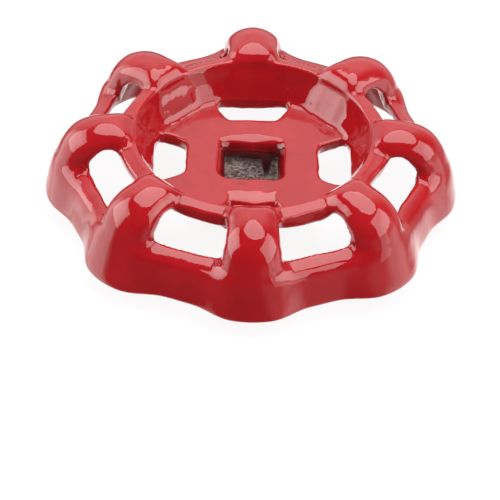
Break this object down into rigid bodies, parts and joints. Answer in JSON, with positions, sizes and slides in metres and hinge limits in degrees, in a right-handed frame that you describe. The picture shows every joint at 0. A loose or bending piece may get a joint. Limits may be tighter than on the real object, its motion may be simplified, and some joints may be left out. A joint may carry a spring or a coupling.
{
  "type": "valve handwheel",
  "caption": "Lobed cast-iron handwheel for a water shutoff valve: a ring of arched finger lobes with windows between them, a recessed web plate and a square stem socket.",
  "frame": {"origin": "centre of the square boss's end face, on the stem's axis; the wheel stands on this face", "axes": "+Z along the stem's axis, from the valve towards the user; +X through the middle of lobe 1, with +Y through lobe 3"},
  "size_m": [0.07, 0.07, 0.0181],
  "materials": {
    "red_enamel": "thick glossy dipped enamel over rough sand-cast iron; the faces inside the square socket are bare"
  },
  "bodies": {
    "root": {"web_plate": "red_enamel", "hub_boss": "red_enamel", "inner_wall_1": "red_enamel", "inner_wall_2": "red_enamel", "inner_wall_3": "red_enamel", "inner_wall_4": "red_enamel", "inner_wall_5": "red_enamel", "inner_wall_6": "red_enamel", "inner_wall_7": "red_enamel", "inner_wall_8": "red_enamel", "lobe_cap_1": "red_enamel", "lobe_cap_2": "red_enamel", "lobe_cap_3": "red_enamel", "lobe_cap_4": "red_enamel", "lobe_cap_5": "red_enamel", "lobe_cap_6": "red_enamel", "lobe_cap_7": "red_enamel", "lobe_cap_8": "red_enamel", "lobe_skirt_1": "red_enamel", "lobe_skirt_2": "red_enamel", "lobe_skirt_3": "red_enamel", "lobe_skirt_4": "red_enamel", "lobe_skirt_5": "red_enamel", "lobe_skirt_6": "red_enamel", "lobe_skirt_7": "red_enamel", "lobe_skirt_8": "red_enamel", "rim_bar_1": "red_enamel", "rim_bar_2": "red_enamel", "rim_bar_3": "red_enamel", "rim_bar_4": "red_enamel", "rim_bar_5": "red_enamel", "rim_bar_6": "red_enamel", "rim_bar_7": "red_enamel", "rim_bar_8": "red_enamel"}
  },
  "joints": []
}
